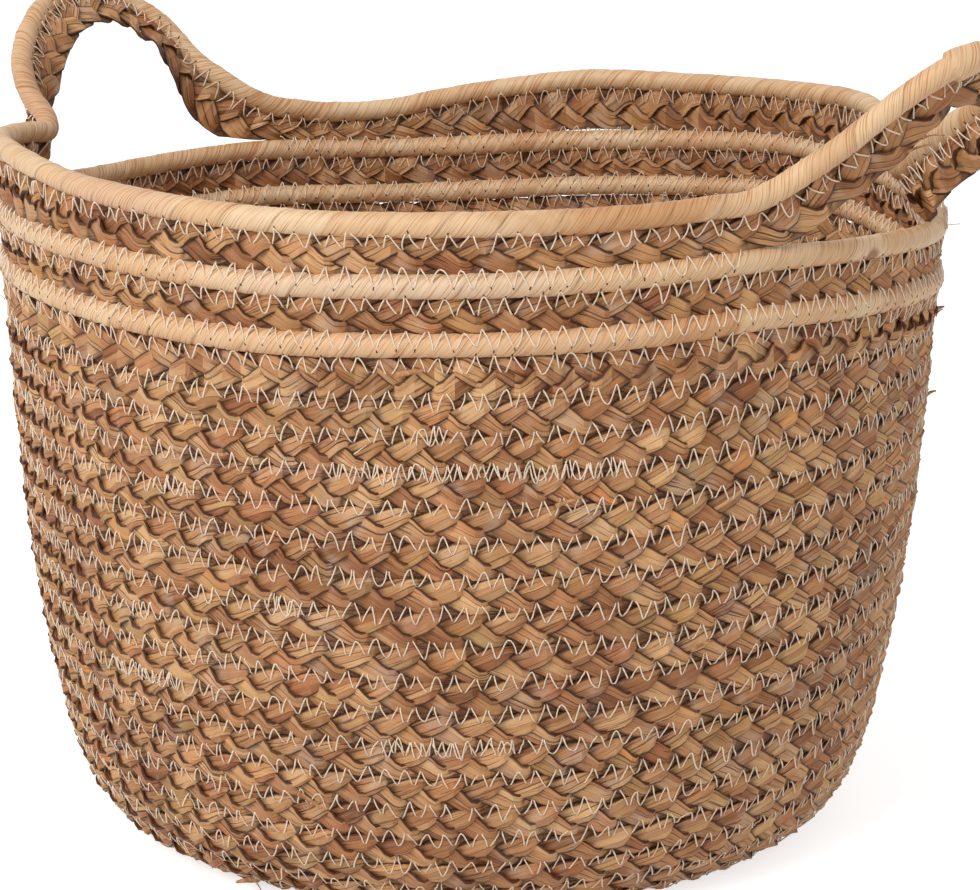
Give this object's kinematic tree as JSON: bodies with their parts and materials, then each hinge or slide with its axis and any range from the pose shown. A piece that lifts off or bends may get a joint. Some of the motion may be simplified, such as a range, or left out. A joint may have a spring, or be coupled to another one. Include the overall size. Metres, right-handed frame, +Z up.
{
  "type": "storage basket",
  "caption": "Round open storage basket of plaited seagrass rows with husk-wrapped cord bands and two raised carrying handles that lean outwards.",
  "frame": {"origin": "middle of the base, on the surface that the basket stands on", "axes": "+Z up along the basket's axis, +X through the middle of one handle, +Y square to both"},
  "size_m": [0.505, 0.409, 0.3525],
  "materials": {
    "seagrass": "dry, matt, plaited",
    "band_seagrass": "dry, matt, plaited, a shade darker",
    "husk": "dry, satin, wound husk fibre",
    "thread": "twisted sewing thread"
  },
  "bodies": {
    "root": {"base_plait": "seagrass", "wall_plait_1": "seagrass", "wall_plait_2": "seagrass", "wall_plait_3": "seagrass", "wall_plait_4": "seagrass", "wall_plait_5": "seagrass", "wall_plait_6": "seagrass", "wall_plait_7": "seagrass", "wall_plait_8": "seagrass", "wall_plait_9": "seagrass", "wall_plait_10": "seagrass", "top_row_plait": "seagrass", "lower_band_plait": "band_seagrass", "upper_band_plait": "band_seagrass", "lower_cord": "husk", "middle_cord": "husk", "rim_cord": "husk"}
  },
  "joints": []
}
